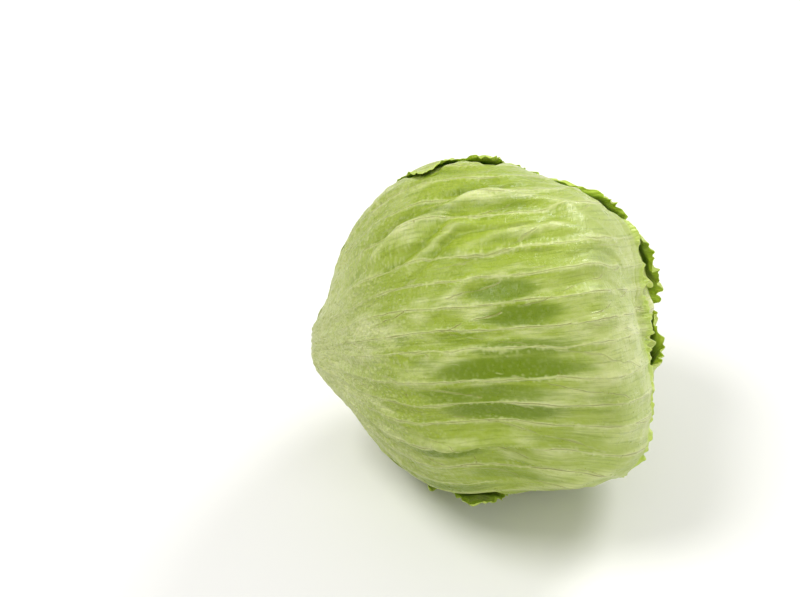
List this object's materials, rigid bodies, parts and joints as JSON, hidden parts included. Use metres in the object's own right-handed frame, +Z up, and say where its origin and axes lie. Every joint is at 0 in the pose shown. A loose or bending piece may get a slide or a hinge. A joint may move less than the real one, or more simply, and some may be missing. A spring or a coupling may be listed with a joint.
{
  "type": "head of lettuce",
  "caption": "Round crisp lettuce head lying on its side: broad wrapped leaves with frilled edges round a tight heart on a cut stem.",
  "frame": {"origin": "middle of the footprint, on the surface the head lies on", "axes": "+X from the stem toward the crown, +Z up, -Y toward the front, where the broad leaf faces"},
  "size_m": [0.1684, 0.1702, 0.1648],
  "materials": {
    "outer_leaf": "waxy fresh leaf, light green with paler veins, soft shine",
    "inner_leaf": "waxy fresh leaf, pale yellow-green",
    "heart": "pale cream-green leaf tissue",
    "stem": "cut stem, cream with a brown oxidised face, matt"
  },
  "bodies": {
    "root": {"leaf_01": "outer_leaf", "leaf_02": "outer_leaf", "leaf_03": "outer_leaf", "leaf_04": "outer_leaf", "leaf_05": "outer_leaf", "leaf_06": "outer_leaf", "leaf_07": "inner_leaf", "leaf_08": "inner_leaf", "leaf_09": "inner_leaf", "leaf_10": "inner_leaf", "leaf_11": "inner_leaf", "leaf_12": "inner_leaf", "heart": "heart", "stem": "stem"}
  },
  "joints": []
}
